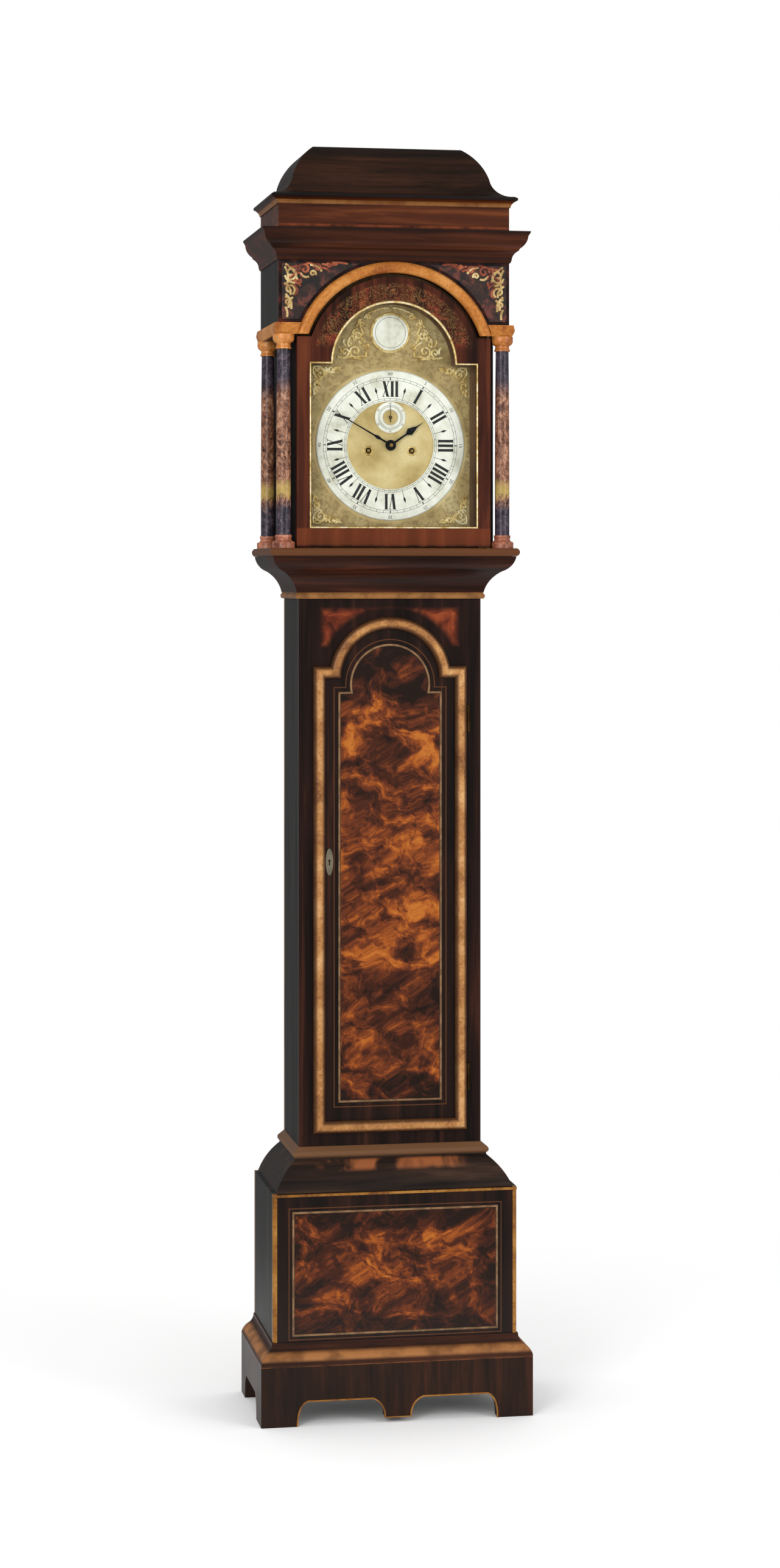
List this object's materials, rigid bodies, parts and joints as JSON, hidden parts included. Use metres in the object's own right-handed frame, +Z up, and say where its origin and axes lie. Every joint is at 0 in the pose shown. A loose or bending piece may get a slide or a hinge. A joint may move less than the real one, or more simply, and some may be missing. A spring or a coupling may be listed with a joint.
{
  "type": "longcase clock",
  "caption": "Tall floor-standing clock: plinth, base, trunk with arched door, hood with columns and caddy top, break-arch dial, weight-driven movement.",
  "frame": {"origin": "centre of the footprint, on the floor", "axes": "+Z up, -Y towards the viewer in front of the dial, +X to that viewer's right"},
  "size_m": [0.508, 0.272, 2.358],
  "materials": {
    "case_wood": "polished dark veneer",
    "burr_wood": "polished burr veneer",
    "moulding_wood": "gilded and lacquered mouldings",
    "dark_wood": "near-black lacquer",
    "inside_wood": "bare softwood and oak",
    "column_wood": "marbled paint",
    "movement_brass": "satin",
    "dial_brass": "matted",
    "fret_gilt": "lacquered",
    "silvered": "silvered",
    "blued_steel": "blued",
    "steel": "satin",
    "bell_metal": "satin",
    "weight_brass": "polished",
    "glass": "clear",
    "gut": "twisted gut"
  },
  "bodies": {
    "case": {"plinth_boards": "case_wood", "plinth_moulding": "moulding_wood", "base_front": "case_wood", "base_corner_beads": "moulding_wood", "base_sides_and_floor": "case_wood", "base_moulding": "dark_wood", "backboard": "inside_wood", "trunk_sides": "case_wood", "trunk_front_frame": "case_wood", "throat_moulding": "dark_wood", "seatboard": "inside_wood", "seatboard_bolts": "steel", "trunk_hinge_leaves": "movement_brass", "dial_plate": "dial_brass", "dial_rings": "silvered", "dial_spandrels": "fret_gilt", "movement_frame": "movement_brass", "bell_and_stand": "bell_metal", "back_cock": "movement_brass", "going_gut_line": "gut", "strike_gut_line": "gut", "gut_line_ends": "gut"},
    "trunk_door": {"trunk_door_board": "burr_wood", "trunk_door_moulding": "moulding_wood", "trunk_lock_and_escutcheon": "movement_brass", "trunk_door_hinges": "movement_brass"},
    "lock_bolt": {"trunk_lock_bolt": "steel"},
    "hood": {"hood_bottom_frame": "case_wood", "hood_sides": "case_wood", "hood_front_board": "case_wood", "hood_mask": "inside_wood", "hood_arch_and_imposts": "moulding_wood", "hood_spandrel_frets": "fret_gilt", "lower_cornice": "dark_wood", "upper_frieze_and_cornice": "dark_wood", "caddy": "dark_wood", "hood_columns": "column_wood", "column_bases_and_capitals": "moulding_wood", "hood_pivot_pins": "steel"},
    "hood_door": {"hood_door_frame": "case_wood", "hood_door_glass": "glass", "hood_door_pivot_plates": "movement_brass"},
    "going_weight": {"going_weight": "weight_brass"},
    "strike_weight": {"strike_weight": "weight_brass"},
    "going_barrel": {"going_barrel": "movement_brass"},
    "strike_barrel": {"strike_barrel": "movement_brass"},
    "centre_wheel": {"centre_wheel": "movement_brass"},
    "third_wheel": {"third_wheel": "movement_brass"},
    "escape_wheel": {"escape_wheel": "movement_brass", "seconds_hand": "blued_steel"},
    "minute_hand": {"cannon_wheel": "movement_brass", "minute_hand": "blued_steel"},
    "minute_wheel": {"minute_wheel": "movement_brass"},
    "hour_hand": {"hour_wheel": "movement_brass", "hour_hand": "blued_steel"},
    "anchor": {"anchor": "steel"},
    "pendulum": {"pendulum_rod": "steel", "pendulum_bob": "movement_brass"},
    "rating_nut": {"rating_nut": "movement_brass"},
    "hammer": {"hammer": "steel"}
  },
  "joints": [
    {"name": "trunk_door_hinge", "type": "hinge", "parent": "case", "child": "trunk_door", "pos_m": [0.148, -0.058, 1], "axis": [0, 0, 1], "range_deg": [0, 100]},
    {"name": "lock_bolt_slide", "type": "slide", "parent": "trunk_door", "child": "lock_bolt", "axis": [-1, 0, 0], "range_m": [0, 0.007]},
    {"name": "hood_slide", "type": "slide", "parent": "case", "child": "hood", "axis": [0, -1, 0], "range_m": [0, 0.26]},
    {"name": "hood_door_hinge", "type": "hinge", "parent": "hood", "child": "hood_door", "pos_m": [0.178, -0.092, 1.8], "axis": [0, 0, 1], "range_deg": [0, 95]},
    {"name": "going_weight_slide", "type": "slide", "parent": "case", "child": "going_weight", "axis": [0, 0, 1], "range_m": [-0.94, 0.25], "deforming": ["going_gut_line"]},
    {"name": "strike_weight_slide", "type": "slide", "parent": "case", "child": "strike_weight", "axis": [0, 0, 1], "range_m": [-0.94, 0.25], "deforming": ["strike_gut_line"]},
    {"name": "going_barrel_arbor", "type": "hinge", "parent": "case", "child": "going_barrel", "pos_m": [0.041, 0, 1.79], "axis": [0, 1, 0], "range_deg": [-1250, 4690]},
    {"name": "strike_barrel_arbor", "type": "hinge", "parent": "case", "child": "strike_barrel", "pos_m": [-0.041, 0, 1.79], "axis": [0, 1, 0], "range_deg": [-4690, 1250]},
    {"name": "escape_arbor", "type": "hinge", "parent": "case", "child": "escape_wheel", "pos_m": [0, 0, 1.852], "axis": [0, 1, 0], "continuous": true},
    {"name": "third_arbor", "type": "hinge", "parent": "case", "child": "third_wheel", "pos_m": [0.008, 0, 1.826], "axis": [0, 1, 0], "continuous": true},
    {"name": "centre_arbor", "type": "hinge", "parent": "case", "child": "centre_wheel", "pos_m": [0, 0, 1.8], "axis": [0, 1, 0], "continuous": true},
    {"name": "minute_hand_arbor", "type": "hinge", "parent": "case", "child": "minute_hand", "pos_m": [0, 0, 1.8], "axis": [0, 1, 0], "continuous": true},
    {"name": "minute_wheel_stud", "type": "hinge", "parent": "case", "child": "minute_wheel", "pos_m": [-0.01909, 0, 1.78091], "axis": [0, 1, 0], "continuous": true},
    {"name": "hour_pipe", "type": "hinge", "parent": "case", "child": "hour_hand", "pos_m": [0, 0, 1.8], "axis": [0, 1, 0], "continuous": true},
    {"name": "suspension", "type": "hinge", "parent": "case", "child": "pendulum", "pos_m": [0, 0.071, 1.88028], "axis": [0, 1, 0], "range_deg": [-2.5, 2.5]},
    {"name": "anchor_arbor", "type": "hinge", "parent": "case", "child": "anchor", "pos_m": [0, 0, 1.88028], "axis": [0, 1, 0], "range_deg": [-2.5, 2.5]},
    {"name": "rating_screw", "type": "hinge", "parent": "pendulum", "child": "rating_nut", "pos_m": [0, 0.071, 0.82], "axis": [0, 0, 1], "range_deg": [-720, 720]},
    {"name": "hammer_arbor", "type": "hinge", "parent": "case", "child": "hammer", "pos_m": [-0.05, 0, 1.864], "axis": [0, 1, 0], "range_deg": [-14, 0]}
  ],
  "couplings": [
    {"joint": "going_barrel_arbor", "follows": "going_weight_slide", "rad_per_m": -86.957},
    {"joint": "strike_barrel_arbor", "follows": "strike_weight_slide", "rad_per_m": 86.957},
    {"joint": "third_arbor", "follows": "escape_arbor", "ratio": -0.125},
    {"joint": "centre_arbor", "follows": "escape_arbor", "ratio": 0.016667},
    {"joint": "minute_wheel_stud", "follows": "minute_hand_arbor", "ratio": -1},
    {"joint": "hour_pipe", "follows": "minute_hand_arbor", "ratio": 0.083333},
    {"joint": "anchor_arbor", "follows": "suspension", "ratio": 1}
  ]
}
